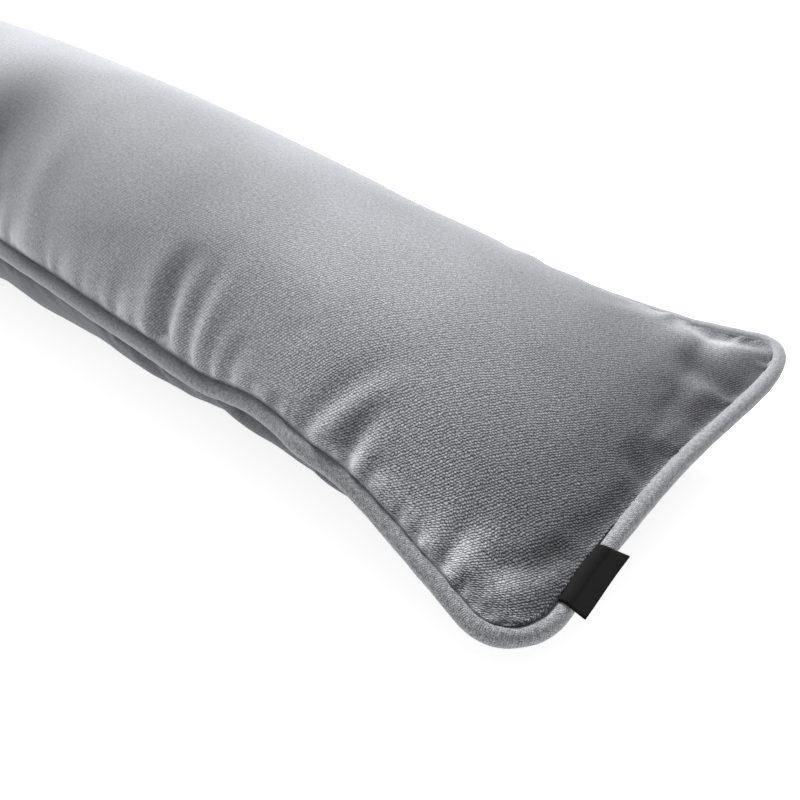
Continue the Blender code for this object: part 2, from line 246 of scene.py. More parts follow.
# The folds are used again for the other sides, the plain end and the under panel,
# drawn out along the seam and at part of their reach and depth.
# Columns: half of the length (1 for the tab's), side (-1 near), stretch, share.
TOP_SIDE_USES = ((1, -1, 1.0, 1.0), (1, 1, 1.09, 0.6), (-1, -1, 1.16, 0.8), (-1, 1, 1.04, 0.6))
UNDER_SIDE_USES = ((1, -1, 1.05, 0.7), (1, 1, 1.13, 0.6), (-1, -1, 1.09, 0.7), (-1, 1, 1.18, 0.6))
# Columns: end (1 for the tab's), stretch, share.
TOP_END_USES = ((1, 1.0, 1.0), (-1, -0.93, 0.8))
UNDER_END_USES = ((1, -1.08, 0.7), (-1, 1.04, 0.7))


class Panel(Enum):
    """One of the cover's two panels, by its column in CROWN_ROWS."""

    TOP = 1
    UNDER = 2


class Slot(Enum):
    """The record's material slots."""

    VELVET = "velvet"
    PIPING = "piping_velvet"
    TAPE = "tab_tape"


def smooth_loop(rows: np.ndarray, per_row: int) -> np.ndarray:
    """Closed curve through the rows: the Catmull-Rom cubic of each row and its neighbours.

    Args:
        rows: Points to pass through, one in a row.
        per_row: Points of the curve for each of the rows.

    Returns:
        The points of the curve, in order.
    """
    p0, p1, p2, p3 = (np.roll(rows, n, axis=0)[:, None, :] for n in (1, 0, -1, -2))
    t = (np.arange(per_row) / per_row)[None, :, None]
    curve = 0.5 * (2 * p1 + (p2 - p0) * t + (2 * p0 - 5 * p1 + 4 * p2 - p3) * t**2
                   + (3 * p1 - p0 - 3 * p2 + p3) * t**3)
    return curve.reshape(-1, 3)


def smooth_table(x: np.ndarray, places: np.ndarray, values: np.ndarray) -> np.ndarray:
    """Cubic through a table's rows, level at its last one.

    Each row's slope is the mean slope to its neighbours, and the piece between two
    rows is the Hermite cubic of their values and slopes.

    Args:
        x: Where the values are wanted.
        places: First column of the table.
        values: Another column.

    Returns:
        The values at x.
    """
    slopes = np.gradient(values, places)
    slopes[-1] = 0.0
    i = np.clip(np.searchsorted(places, x, side="right") - 1, 0, len(places) - 2)
    span = places[i + 1] - places[i]
    t = (x - places[i]) / span
    return ((2 * t**3 - 3 * t**2 + 1) * values[i] + (t**3 - 2 * t**2 + t) * span * slopes[i]
            + (3 * t**2 - 2 * t**3) * values[i + 1] + (t**3 - t**2) * span * slopes[i + 1])


def run_lengths(points: np.ndarray) -> np.ndarray:
    """Distance along a line of points from its first point."""
    steps = np.linalg.norm(np.diff(points, axis=0), axis=1)
    return np.concatenate([[0.0], np.cumsum(steps)])


def resample(line: np.ndarray, fractions: np.ndarray) -> np.ndarray:
    """Points at the given fractions of a line's length."""
    run = run_lengths(line)
    return np.stack([np.interp(fractions * run[-1], run, line[:, k]) for k in range(3)], 1)


def unit(vectors: np.ndarray) -> np.ndarray:
    """The vectors, each divided by its length."""
    return vectors / np.linalg.norm(vectors, axis=-1, keepdims=True)


def bell(distance: np.ndarray, width: Union[float, np.ndarray]) -> np.ndarray:
    """Gaussian of a distance: 1 at nought, falling off over the width."""
    return np.exp(-((distance / width) ** 2))


@dataclass(frozen=True)
class Fineness:
    """Steps of a mesh over the cover, in metres, and counts.

    Attributes:
        at_corners: Step along a side beside a corner.
        at_folds: Step along a side in the tab's half.
        plain: Step along a side in the plain half.
        across: Steps across the cover.
        groove: Steps round the groove that holds the piping.
    """

    at_corners: float
    at_folds: float
    plain: float
    across: int
    groove: int


FINE = Fineness(1.1 * MM, 1.35 * MM, 2.3 * MM, across=84, groove=8)
COARSE = Fineness(4.5 * MM, 5.0 * MM, 5.4 * MM, across=30, groove=2)


@dataclass
class Seam:
    """The closed line in which both panels, the piping and the tab are sewn.

    Attributes:
        length: From end seam to end seam.
        per_row: Points of the curve for each row of SEAM_ROWS.
        folded_length: Length of the tab's part of a side that has the finest steps.
        corner_spread: Distance from a corner over which the steps widen.
        grading: Share of the steps across that crowd towards the seams.
    """

    length: float = 786 * MM
    per_row: int = 24
    folded_length: float = 330 * MM
    corner_spread: float = 20 * MM
    grading: float = 0.7

    def curve(self) -> tuple[np.ndarray, list[int]]:
        """The whole seam as a fine closed curve.

        Returns:
            The points, and the numbers of the near, far, near back and far back corner.
        """
        inset, across, height = (np.array(SEAM_ROWS) * MM).T
        half = np.stack([self.length / 2 - inset, across, height], axis=1)
        rows = np.concatenate([half, half * (-1, -1, 1)])
        corners = [row * self.per_row for row in (
            NEAR_CORNER_ROW, FAR_CORNER_ROW, len(half) + NEAR_CORNER_ROW,
            len(half) + FAR_CORNER_ROW)]
        return smooth_loop(rows, self.per_row), corners

    def along(self, side: np.ndarray, fineness: Fineness) -> np.ndarray:
        """Fractions of a long side's length, closer together at its corners and folds.

        The side runs towards the tab's end. The step is a function of the distance
        to the end, and the stations are equal parts of the sum of 1 / step.

        Args:
            side: Points of the side.
            fineness: The steps wanted.

        Returns:
            The fractions, from 0 to 1.
        """
        samples = 4000
        total = run_lengths(side)[-1]
        s = np.linspace(0.0, total, samples)
        plain = np.clip((total - s - self.folded_length) / self.folded_length, 0, 1)
        step = fineness.at_folds + (fineness.plain - fineness.at_folds) * plain
        corner = np.exp(-np.minimum(total - s, s) / self.corner_spread)
        step = step + (fineness.at_corners - step) * corner
        counted = np.concatenate([[0.0], np.cumsum((s[1] - s[0]) / step[1:])])
        wanted = np.linspace(0.0, counted[-1], int(round(counted[-1])) + 1)
        return np.interp(wanted, counted, s) / total

    def across(self, fineness: Fineness) -> np.ndarray:
        """Fractions across an end: even steps mixed with half a cosine wave of them."""
        even = np.linspace(0.0, 1.0, fineness.across + 1)
        crowded = 0.5 * (1 - np.cos(np.pi * even))
        return self.grading * crowded + (1 - self.grading) * even

    def stations(self, fineness: Fineness) -> "SeamLoop":
        """The seam at a mesh's stations.

        Args:
            fineness: The steps wanted.

        Returns:
            The loop, which starts at the far back corner and goes along the near side.
        """
        curve, (near, far, near_back, far_back) = self.curve()
        count = len(curve)

        def piece(first: int, last: int) -> np.ndarray:
            """The fine points from one corner to the next, going round."""
            return curve[np.arange(first, last + (count if last < first else 0) + 1) % count]

        near_side = piece(far_back, near)
        along, across = self.along(near_side, fineness), self.across(fineness)
        points = np.concatenate([
            resample(near_side, along)[:-1],
            resample(piece(near, far), across)[:-1],
            resample(piece(far, near_back), 1 - along[::-1])[:-1],
            resample(piece(near_back, far_back), across)[:-1],
        ])
        return SeamLoop(points, along, across)


@dataclass
class SeamLoop:
    """The seam at the stations of one mesh.

    Attributes:
        points: The loop's points.
        along: Fractions along a side, 0 to 1.
        across: Fractions across an end, 0 to 1.
    """

    points: np.ndarray
    along: np.ndarray
    across: np.ndarray

    @property
    def steps(self) -> tuple[int, int]:
        """Steps along a side and across an end."""
        return len(self.along) - 1, len(self.across) - 1

    def inward(self) -> np.ndarray:
        """Level unit vectors that point from the seam into the cover."""
        tangent = np.roll(self.points, -1, axis=0) - np.roll(self.points, 1, axis=0)
        return unit(np.stack([-tangent[:, 1], tangent[:, 0], np.zeros(len(tangent))], axis=1))

    def ring(self, radius: Union[float, np.ndarray], degrees: float) -> np.ndarray:
        """The loop moved by a radius, at an angle up from the inward direction."""
        angle = math.radians(degrees)
        up = np.array([0.0, 0.0, 1.0])
        radius = np.broadcast_to(radius, len(self.points))[:, None]
        return self.points + radius * (math.cos(angle) * self.inward() + math.sin(angle) * up)

    def fill(self, border: np.ndarray) -> np.ndarray:
        """Coons patch inside a ring: the two ruled surfaces less the corners' one.

        Args:
            border: A ring of this loop.

        Returns:
            A grid of points, along by across.
        """
        a, b = self.steps
        closed = np.concatenate([border, border[:1]])
        near, tab_end = closed[:a + 1], closed[a:a + b + 1]
        far, plain_end = closed[a + b:2 * a + b + 1][::-1], closed[2 * a + b:][::-1]
        u = np.linspace(0, 1, a + 1)[:, None, None]
        v = np.linspace(0, 1, b + 1)[None, :, None]
        ruled_along = (1 - v) * near[:, None] + v * far[:, None]
        ruled_across = (1 - u) * plain_end[None] + u * tab_end[None]
        corners = ((1 - u) * ((1 - v) * near[0] + v * far[0])
                   + u * ((1 - v) * near[-1] + v * far[-1]))
        return ruled_along + ruled_across - corners

    def border_numbers(self) -> np.ndarray:
        """Numbers of a filled grid's border points, in the loop's order."""
        a, b = self.steps
        grid = np.arange((a + 1) * (b + 1)).reshape(a + 1, b + 1)
        return np.concatenate([grid[:-1, 0], grid[-1, :-1], grid[:0:-1, -1], grid[0, :0:-1]])

    def grid_quads(self) -> np.ndarray:
        """Quads of a filled grid, facing up."""
        a, b = self.steps
        grid = np.arange((a + 1) * (b + 1)).reshape(a + 1, b + 1)
        corners = (grid[:-1, :-1], grid[1:, :-1], grid[1:, 1:], grid[:-1, 1:])
        return np.stack([c.ravel() for c in corners], axis=1)


def ring_quads(upper: np.ndarray, lower: np.ndarray) -> np.ndarray:
    """Quads between two closed rings of point numbers, facing out of the upper one's turn."""
    return np.stack([upper, lower, np.roll(lower, -1), np.roll(upper, -1)], axis=1)


def distances(grid: np.ndarray, axis: int) -> tuple[np.ndarray, np.ndarray]:
    """Distance over a grid of points from the first and from the last row of an axis."""
    steps = np.linalg.norm(np.diff(grid, axis=axis), axis=2)
    run = np.insert(np.cumsum(steps, axis=axis), 0, 0.0, axis=axis)
    return run, run.take([-1], axis=axis) - run


def grid_normals(grid: np.ndarray) -> np.ndarray:
    """Unit normals of a grid of points: the cross product of its two slopes."""
    return unit(np.cross(np.gradient(grid, axis=0), np.gradient(grid, axis=1)))


def mesh_object(name: str, points: np.ndarray, quads: np.ndarray, corner_uv: np.ndarray,
                material: bpy.types.Material) -> bpy.types.Object:
    """Make a smooth-shaded mesh piece with a map of its cloth.

    Args:
        name: Name of the piece.
        points: Its points.
        quads: Four point numbers for each face.
        corner_uv: Place on the cloth, in metres, of each corner of each face.
        material: Its finish.

    Returns:
        The new object.
    """
    mesh = bpy.data.meshes.new(name)
    mesh.from_pydata(points.tolist(), [], quads.tolist())
    mesh.shade_smooth()
    mesh.uv_layers.new(name=CLOTH_MAP).data.foreach_set("uv", corner_uv.ravel())
    mesh.materials.append(material)
    made = bpy.data.objects.new(name, mesh)
    bpy.context.collection.objects.link(made)
    return made


Value = Union["Wire", float, Sequence[float]]


class Wire:
    """An output socket whose operators add Math nodes to its material."""

    def __init__(self, graph: "Graph", socket: bpy.types.NodeSocket) -> None:
        """Wrap a socket of a graph."""
        self.graph = graph
        self.socket = socket

    def _math(self, operation: str, *values: Value) -> "Wire":
        """Add a Math node of the given operation on the values."""
        return self.graph.add("ShaderNodeMath", {"operation": operation},
                              dict(enumerate(values)))

    def __add__(self, other: Value) -> "Wire":
        """Sum."""
        return self._math("ADD", self, other)

    __radd__ = __add__

    def __sub__(self, other: Value) -> "Wire":
        """Difference."""
        return self._math("SUBTRACT", self, other)

    def __rsub__(self, other: Value) -> "Wire":
        """Difference, from a number."""
        return self._math("SUBTRACT", other, self)

    def __mul__(self, other: Value) -> "Wire":
        """Product."""
        return self._math("MULTIPLY", self, other)

    __rmul__ = __mul__

    def __truediv__(self, other: Value) -> "Wire":
        """Quotient."""
        return self._math("DIVIDE", self, other)

    def cosine(self) -> "Wire":
        """Cosine of an angle in radians."""
        return self._math("COSINE", self)

    def step(self, low: float, high: float) -> "Wire":
        """Smooth step from 0 at the first bound to 1 at the second."""
        return self.graph.add("ShaderNodeMapRange", {"interpolation_type": "SMOOTHSTEP"},
                              {"Value": self, "From Min": low, "From Max": high})


class Graph:
    """The node tree of one material, with a Principled shader at its end."""

    def __init__(self, name: str) -> None:
        """Start a material.

        Args:
            name: Name of the material.
        """
        self.material = bpy.data.materials.new(name)
        self.material.use_nodes = True
        self.tree = self.material.node_tree
        self.shader = self.tree.nodes["Principled BSDF"]

    def join(self, socket: bpy.types.NodeSocket, value: Value) -> None:
        """Link a wire to an input socket, or set its number."""
        if isinstance(value, Wire):
            self.tree.links.new(value.socket, socket)
        else:
            socket.default_value = value

    def add(self, kind: str, settings: dict[str, Any], sockets: dict[Any, Value],
            output: Union[int, str] = 0) -> Wire:
        """Add a node.

        Args:
            kind: The node's type.
            settings: Its properties, set first.
            sockets: Value or link of each input, by name or number.
            output: Name or number of the output to use.

        Returns:
            The wire from that output.
        """
        node = self.tree.nodes.new(kind)
        for name, setting in settings.items():
            setattr(node, name, setting)
        for name, value in sockets.items():
            self.join(node.inputs[name], value)
        return Wire(self, node.outputs[output])

    def cloth_place(self) -> Wire:
        """Place on the cloth, in metres along and across it."""
        return self.add("ShaderNodeUVMap", {"uv_map": CLOTH_MAP}, {})

    def place(self) -> Wire:
        """Place on the object."""
        return self.add("ShaderNodeTexCoord", {}, {}, "Object")

    def noise(self, at: Wire, per_metre: float, detail: float = 2.0) -> Wire:
        """Cloudy noise from 0 to 1 with the given number of clouds in a metre."""
        return self.add("ShaderNodeTexNoise", {"noise_dimensions": "3D"},
                        {"Vector": at, "Scale": per_metre, "Detail": detail})

    def shifted(self, at: Wire, per_metre: float, distance: float) -> Wire:
        """A place moved by up to a distance each way, unevenly."""
        clouds = self.add("ShaderNodeTexNoise", {}, {"Vector": at, "Scale": per_metre}, "Color")
        centred = self.add("ShaderNodeVectorMath", {"operation": "SUBTRACT"},
                           {0: clouds, 1: (0.5, 0.5, 0.5)})
        sized = self.add("ShaderNodeVectorMath", {"operation": "SCALE"},
                         {0: centred, "Scale": 2 * distance})
        return self.add("ShaderNodeVectorMath", {"operation": "ADD"}, {0: at, 1: sized})

    def wave(self, at: Wire, per_mm: tuple[float, float]) -> Wire:
        """Cosine wave over a place, with the given waves in a mm along and across."""
        turns = tuple(2 * math.pi * n / MM for n in per_mm)
        phase = self.add("ShaderNodeVectorMath", {"operation": "DOT_PRODUCT"},
                         {0: at, 1: (*turns, 0.0)}, "Value")
        return phase.cosine()

    def tint(self, factor: Value, first: Value, second: Value) -> Wire:
        """Colour between two colours."""
        return self.add("ShaderNodeMix", {"data_type": "RGBA"}, {0: factor, 6: first, 7: second}, 2)

    def bump(self, height: Wire, distance: float, strength: float) -> Wire:
        """Normal of a height from 0 to 1 that stands for a distance."""
        return self.add("ShaderNodeBump", {}, {"Height": height, "Distance": distance,
                                               "Strength": strength})

    def finish(self, **sockets: Value) -> bpy.types.Material:
        """Set the shader's sockets, with _ for a space in their names.

        Args:
            sockets: Value or link of each of the shader's inputs.

        Returns:
            The finished material.
        """
        for name, value in sockets.items():
            self.join(self.shader.inputs[name.replace("_", " ")], value)
        return self.material


def grey(red: float, green: float, blue: float) -> tuple[float, float, float, float]:
    """A colour with its alpha."""
    return (red, green, blue, 1.0)


@dataclass(frozen=True)
class VelvetFinish:
    """Short-pile velvet whose tufts lie in a brick-like lattice.

    Attributes:
        name: Name of the material.
        dark, light: Colours of the pile's shade and of its brushed tips.
        tuft: Distance between tufts along a row, and between rows, in mm.
        turn: Degrees that the rows are turned on the cloth.
        crests: Weight of the rising, level and falling crests of the lattice.
        tuft_edge: Share of the lattice's height at a tuft's foot and at its top.
        contrast: How much the tufts stand out in tone.
        crisp_way: The way over the cushion in which the tufts grow crisper.
        soft_from, soft_to: Place along that way where they are worn soft, and where
            they are crisp.
        softest, crispest: Weight of the weave at those two places.
        stray: Clouds in a metre by which the tufts stray off the lattice, and how far.
        grains: Fibres, specks and brushed clouds in a metre.
        patchy: How much more the tufts show in a speck, and how much they show at least.
        weave: Weights of the fibres and the specks in the weave.
        fuzz: Their weights in the fuzz.
        fading: Weight of weave and fuzz on a dark nap, and what a light nap takes off it.
        ground: The tone's base, and the weight of the clouds on it.
        heights: Weights of the tufts, the fibres and the specks in the height.
        relief: Height of the tufts.
        sheen: Weight of the pile's sheen.
    """

    name: str
    dark: tuple[float, float, float, float]
    light: tuple[float, float, float, float]
    tuft: tuple[float, float] = (1.21, 1.04)
    turn: float = 0.0
    crests: tuple[float, float, float] = (1.0, 0.7, 0.3)
    tuft_edge: tuple[float, float] = (0.2, 0.85)
    contrast: float = 0.7
    crisp_way: tuple[float, float, float] = (0.6, -0.8, 0.0)
    soft_from: float = 0.10
    soft_to: float = 0.28
    softest: float = 0.15
    crispest: float = 1.4
    stray: tuple[float, float] = (320.0, 0.9 * MM)
    grains: tuple[float, float, float] = (2600.0, 750.0, 24.0)
    patchy: tuple[float, float] = (1.6, 0.2)
    weave: tuple[float, float] = (1.1, 0.8)
    fuzz: tuple[float, float] = (0.8, 0.5)
    fading: tuple[float, float] = (1.25, 0.55)
    ground: tuple[float, float] = (0.55, 0.3)
    heights: tuple[float, float, float] = (0.7, 0.35, 0.35)
    relief: float = 0.35 * MM
    sheen: float = 0.5

    def tufts(self, graph: Graph, at: Wire) -> Wire:
        """Height of the tufts, 0 to 1: three waves that cross in a brick lattice."""
        along, rows = 1 / self.tuft[0], 1 / self.tuft[1]
        c, s = math.cos(math.radians(self.turn)), math.sin(math.radians(self.turn))
        ways = ((along, -rows / 2), (0.0, rows), (along, rows / 2))
        waves = sum(graph.wave(at, (c * x - s * y, s * x + c * y)) * weight
                    for (x, y), weight in zip(ways, self.crests))
        most = sum(self.crests)
        return ((waves + most) / (2 * most)).step(*self.tuft_edge)

    def build(self) -> bpy.types.Material:
        """Make the material.

        Returns:
            The velvet. Its tone is the pile attribute, which holds painted light and
            painted shade as well as the pile's own tone, times the sum of a base, of
            brushed clouds, of a weave of tufts, specks and fibres that grows crisper
            one way, and of fuzz that is even all over. Weave and fuzz are fainter
            where that attribute is light. Tufts, specks and fibres give the height.
        """
        graph = Graph(self.name)
        cloth, at = graph.cloth_place(), graph.place()
        tufts = self.tufts(graph, graph.shifted(cloth, *self.stray))
        fibres = graph.noise(cloth, self.grains[0])
        specks = graph.noise(cloth, self.grains[1], detail=3.0)
        clouds = graph.noise(at, self.grains[2], detail=3.0)
        # the pile's tone, with the cover's painted light and painted shade in it
        nap_and_painted_light = graph.add("ShaderNodeAttribute", {"attribute_name": NAP_AND_PAINTED_LIGHT}, {}, "Fac")
        along = graph.add("ShaderNodeVectorMath", {"operation": "DOT_PRODUCT"},
                          {0: at, 1: self.crisp_way}, "Value")
        worn = along.step(self.soft_from, self.soft_to)
        crisp = worn * (self.crispest - self.softest) + self.softest
        shown = specks * self.patchy[0] + self.patchy[1]
        grain = (tufts - 0.5) * self.contrast * shown + (fibres - 0.5) * self.weave[0]
        fuzz = (specks - 0.5) * self.fuzz[1] + (fibres - 0.5) * self.fuzz[0]
        fading = self.fading[0] - nap_and_painted_light * self.fading[1]
        fine = ((grain + (specks - 0.5) * self.weave[1]) * crisp + fuzz) * fading
        tone = nap_and_painted_light * (fine + clouds * self.ground[1] + self.ground[0])
        of_tufts, of_fibres, of_specks = self.heights
        height = tufts * worn * of_tufts + fibres * of_fibres + specks * of_specks
        return graph.finish(
            Base_Color=graph.tint(tone, self.dark, self.light), Roughness=0.8 + specks * 0.15,
            Normal=graph.bump(height, self.relief, 0.8),
            Sheen_Weight=self.sheen, Sheen_Roughness=0.35, Sheen_Tint=grey(0.9, 0.93, 0.97),
            Specular_IOR_Level=0.1)


@dataclass(frozen=True)
class TapeFinish:
    """Black woven tape with fine ribs.

    Attributes:
        name: Name of the material.
        ribs: Ribs in a mm.
    """

    name: str = "tab_tape"
    ribs: float = 2.4

    def build(self) -> bpy.types.Material:
        """Make the material: ribs crossed by finer threads."""
        graph = Graph(self.name)
        cloth = graph.cloth_place()
        ribs = graph.wave(cloth, (0.0, self.ribs)) * 0.5 + 0.5
        threads = graph.wave(cloth, (self.ribs * 1.6, 0.0)) * 0.5 + 0.5
        fuzz = graph.noise(cloth, per_metre=1800)
        shade = ribs * 0.5 + threads * 0.2 + fuzz * 0.5
        colour = graph.tint(shade.step(0.2, 1.1), grey(0.003, 0.003, 0.003),
                            grey(0.012, 0.012, 0.012))
        height = ribs * 0.6 + threads * 0.2 + fuzz * 0.2
        return graph.finish(
            Base_Color=colour, Roughness=0.7 + fuzz * 0.2,
            Normal=graph.bump(height, 0.12 * MM, 0.6),
            Sheen_Weight=0.02, Specular_IOR_Level=0.05)


@dataclass(frozen=True)
class FloorFinish:
    """Plain pale studio floor, lit from below as a light table is.

    Attributes:
        name: Name of the material.
        glow: Strength of its own light.
    """

    name: str = "studio_floor"
    glow: float = 0.75

    def build(self) -> bpy.types.Material:
        """Make the material: near white, with the faintest cloud."""
        graph = Graph(self.name)
        clouds = graph.noise(graph.place(), per_metre=3)
        colour = graph.tint(clouds, grey(0.86, 0.86, 0.865), grey(0.88, 0.88, 0.885))
        return graph.finish(Base_Color=colour, Roughness=0.9 + clouds * 0.05,
                            Specular_IOR_Level=0.1, Emission_Color=grey(1, 1, 1),
                            Emission_Strength=self.glow)


@dataclass
class Filling:
    """The filling's push on the cover, as a cloth simulation on a coarse mesh.

    Attributes:
        frames: Frames that are run.
        pressure: Push of the filling.
        ease: How much larger the cloth is than its seam lets it lie.
        bending: Stiffness of the cloth against folds.
        most: Most that a point may move.
        broad: Width over which a movement counts as the crown's, not as a fold's.
    """

    frames: int = 20
    pressure: float = 4.0
    ease: float = 0.002
    bending: float = 0.3
    most: float = 0.8 * MM
    broad: float = 24 * MM

    def settle(self, points: np.ndarray, quads: np.ndarray, seam: np.ndarray) -> np.ndarray:
        """Run the simulation.

        Args:
            points: Points of the closed coarse cover.
            quads: Its faces.
            seam: Numbers of the points that the seam holds still.

        Returns:
            How far each point moves.
        """
        mesh = bpy.data.meshes.new("filling")
        mesh.from_pydata(points.tolist(), [], quads.tolist())
        cover = bpy.data.objects.new("filling", mesh)
        scene = bpy.context.scene
        scene.collection.objects.link(cover)
        cover.vertex_groups.new(name="seam").add(seam.tolist(), 1.0, "REPLACE")
        cloth = cover.modifiers.new("Cloth", "CLOTH")
        settings = cloth.settings
        settings.vertex_group_mass = "seam"
        settings.use_pressure = True
        settings.uniform_pressure_force = self.pressure
        settings.shrink_min = -self.ease
        settings.bending_stiffness = self.bending
        settings.effector_weights.gravity = 0.0
        cloth.collision_settings.use_collision = False
        cloth.point_cache.frame_start, cloth.point_cache.frame_end = 1, self.frames
        for number in range(1, self.frames + 1):
            scene.frame_set(number)
        settled = cover.evaluated_get(bpy.context.evaluated_depsgraph_get()).data
        moved = np.empty(3 * len(settled.vertices))
        settled.vertices.foreach_get("co", moved)
        scene.frame_set(1)
        bpy.data.objects.remove(cover)
        bpy.data.meshes.remove(mesh)
        return moved.reshape(-1, 3) - points

    def wrinkles(self, moved: np.ndarray, spacing: float) -> np.ndarray:
        """What is left of a grid's movement once its broad part is taken off, capped.

        The broad part is a Gaussian mean over the grid's neighbours.

        Args:
            moved: Movement at each point of a grid.
            spacing: Distance between the grid's points.

        Returns:
            The movement that is kept.
        """
        fine = moved
        for axis in (0, 1):
            n = np.arange(moved.shape[axis]) * spacing
            weights = bell(n[:, None] - n[None, :], self.broad)
            weights /= weights.sum(axis=1, keepdims=True)
            fine = np.moveaxis(np.tensordot(weights, fine, axes=(1, axis)), 0, axis)
        kept = moved - fine
        size = np.linalg.norm(kept, axis=2, keepdims=True)
        return kept * np.minimum(1.0, self.most / np.maximum(size, 1e-9))


@dataclass
class Cover:
    """The filled velvet cover: two crowned panels with a groove round the piping.

    Attributes:
        seam: The line it is sewn in.
        filling: Its filling.
        finish: Its velvet.
        groove_radius: From the seam to the cloth that hugs the piping.
        groove_angle: Degrees each side of level that the cloth hugs the piping.
        squareness: How flat the panels lie across the middle.
        roundness: How steeply the panels leave the seam.
        end_squareness, end_roundness: The same for the top panel at an end.
        end_lean: How much higher its farther half is there than its nearer one.
        end_spread: Distance from an end over which these change.
        fold_root: Distance from the seam over which a fold reaches its depth.
        fold_spread: How much wider a fold is where it ends than at the seam.
        pucker, pucker_root, pucker_reach: Depth of the small puckers along the seam,
            and the distances over which they grow and fade.
        tone, most_tone: Tone of the nap on the open cloth, and the lightest it gets.
        groove_shaded_tone: Its tone in the groove: painted shade, a little darker than the top
            panel's edge.
        brushed: Share of the tone that the pile keeps at the tab's end and at the
            plain end, and the distance over which it comes back: the pile's brushing,
            with painted shade on the ends.
        painted_end_light: How much painted light lies beside the side seams at an end (as a
            power of e), and the distances from the end and the seam over which it fades.
        painted_seam_light: The same beside the whole seam, with the distance from it: a broad
            painted shade, and painted light where the cloth rolls down to the piping.
        shade: Share of the tone that the under panel has: painted shade.
        painted_flank_light: How much light and shade is painted on the folds' sides, by their turn.
        key_light_way: The way to the key light, in which a fold's side is painted light.
        settled_width: Width of the mean that carries the filling's movement from the
            coarse mesh to the fine one, in coarse steps.
        fill: How tight the cover is, from 0 to 1. Not used.
    """

    seam: Seam
    filling: Filling = field(default_factory=Filling)
    finish: VelvetFinish = VelvetFinish("velvet", grey(0.01, 0.01, 0.012), grey(0.5, 0.506, 0.535))
    groove_radius: float = 3.3 * MM
    groove_angle: float = 55.0
    squareness: float = 2.2
    roundness: float = 0.60
    end_squareness: float = 1.6
    end_roundness: float = 0.38
    end_lean: float = 0.3
    end_spread: float = 60 * MM
    fold_root: float = 1.4 * MM
    fold_spread: float = 0.45
    pucker: float = 0.5 * MM
    pucker_root: float = 0.7 * MM
    pucker_reach: float = 3.5 * MM
    tone: float = 0.75
    most_tone: float = 2.0
    groove_shaded_tone: float = 0.7
    # darker towards the ends: the pile's brushing with painted shade
    brushed: tuple[float, float, float] = (0.185, 0.5, 42 * MM)
    painted_end_light: tuple[float, float, float] = (1.4, 55 * MM, 10 * MM)
    # painted shade and painted light beside the seam
    painted_seam_light: tuple[tuple[float, float], ...] = ((-0.25, 8 * MM), (0.5, 2.4 * MM))
    # painted shade of the under panel
    shade: float = 0.17
    painted_flank_light: float = 1.9
    key_light_way: tuple[float, float, float] = (-0.6, 0.5, 0.3)
    settled_width: float = 0.8
    fill: float = 0.8

    def crowned(self, patch: np.ndarray, panel: Panel) -> np.ndarray:
        """Raise or lower a flat panel.

        Height is the seam's plus the middle's rise times (1 - |k| ^ squareness) ^
        roundness, with k from -1 at the near seam to 1 at the far one. Towards an
        end of the top panel the powers change, and one half leans higher.

        Args:
            patch: The panel, filled between its seams.
            panel: Which of the two it is.

        Returns:
            The crowned panel, nowhere below the floor.
        """
        table = np.array(CROWN_ROWS) * MM
        to_end = self.seam.length / 2 - np.abs(patch[:, :, 0])
        middle = smooth_table(to_end, table[:, 0], table[:, panel.value])
        level = patch * (1, 1, 0)
        run, rest = distances(level, axis=1)
        k = (run - rest) / (run + rest)
        end = np.exp(-to_end / self.end_spread) * (panel is Panel.TOP)
        squareness = self.squareness + (self.end_squareness - self.squareness) * end
        roundness = self.roundness + (self.end_roundness - self.roundness) * end
        section = (1 - np.abs(k)**squareness) ** roundness
        section *= 1 + self.end_lean * end * k * np.sign(patch[:, :, 0])
        rise = middle - patch[:, :, 2]
        rise = np.maximum(rise, 0) if panel is Panel.TOP else np.minimum(rise, 0)
        lifted = patch.copy()
        lifted[:, :, 2] = np.maximum(patch[:, :, 2] + rise * section, 0.0)
        return lifted

    def fold(self, along: np.ndarray, inward: np.ndarray, row: Sequence[float], stretch: float,
             share: float) -> np.ndarray:
        """Depth of one fold over a panel.

        A Gaussian across it that widens inwards, times its growth from the seam,
        times a quarter of a cosine wave to its reach.

        Args:
            along: Place along the seam.
            inward: Distance from the seam.
            row: Its row of a fold table.
            stretch: How much its place is drawn out.
            share: Part of its reach and depth that is used.

        Returns:
            The depth at each point.
        """
        place, reach, width, depth = np.array(row[:4]) * MM
        gone = np.clip(inward / (reach * share), 0, 1)
        across = bell(along - stretch * (place + row[4] * inward),
                      width * (1 + self.fold_spread * gone))
        grown = 1 - np.exp(-inward / self.fold_root)
        return depth * share * across * grown * np.cos(0.5 * np.pi * gone)

    def puckers(self, along: np.ndarray, inward: np.ndarray) -> np.ndarray:
        """Depth of the small puckers all along a seam.

        Half the sum of the cosine waves of the place along it, times their growth
        from the seam and their exponential decay inwards.

        Args:
            along: Place along the seam.
            inward: Distance from the seam.

        Returns:
            The depth at each point.
        """
        waves = sum(np.cos(2 * np.pi * along / (length * MM) + start)
                    for length, start in PUCKER_WAVES)
        grown = 1 - np.exp(-inward / self.pucker_root)
        return self.pucker * waves / 2 * grown * np.exp(-inward / self.pucker_reach)

    def crease(self, inset: np.ndarray, across: np.ndarray, row: Sequence[float]) -> np.ndarray:
        """Depth of a bent crease: a Gaussian of the distance to its two straight runs."""
        a, b, c = np.array(row[:6]).reshape(3, 2) * MM
        at = np.stack([inset, across], axis=2)

        def away(start: np.ndarray, end: np.ndarray) -> np.ndarray:
            """Distance to the run from start to end."""
            along = end - start
            t = np.clip(((at - start) @ along) / (along @ along), 0, 1)
            return np.linalg.norm(at - start - t[:, :, None] * along, axis=2)

        return row[7] * MM * bell(np.minimum(away(a, b), away(b, c)), row[6] * MM)

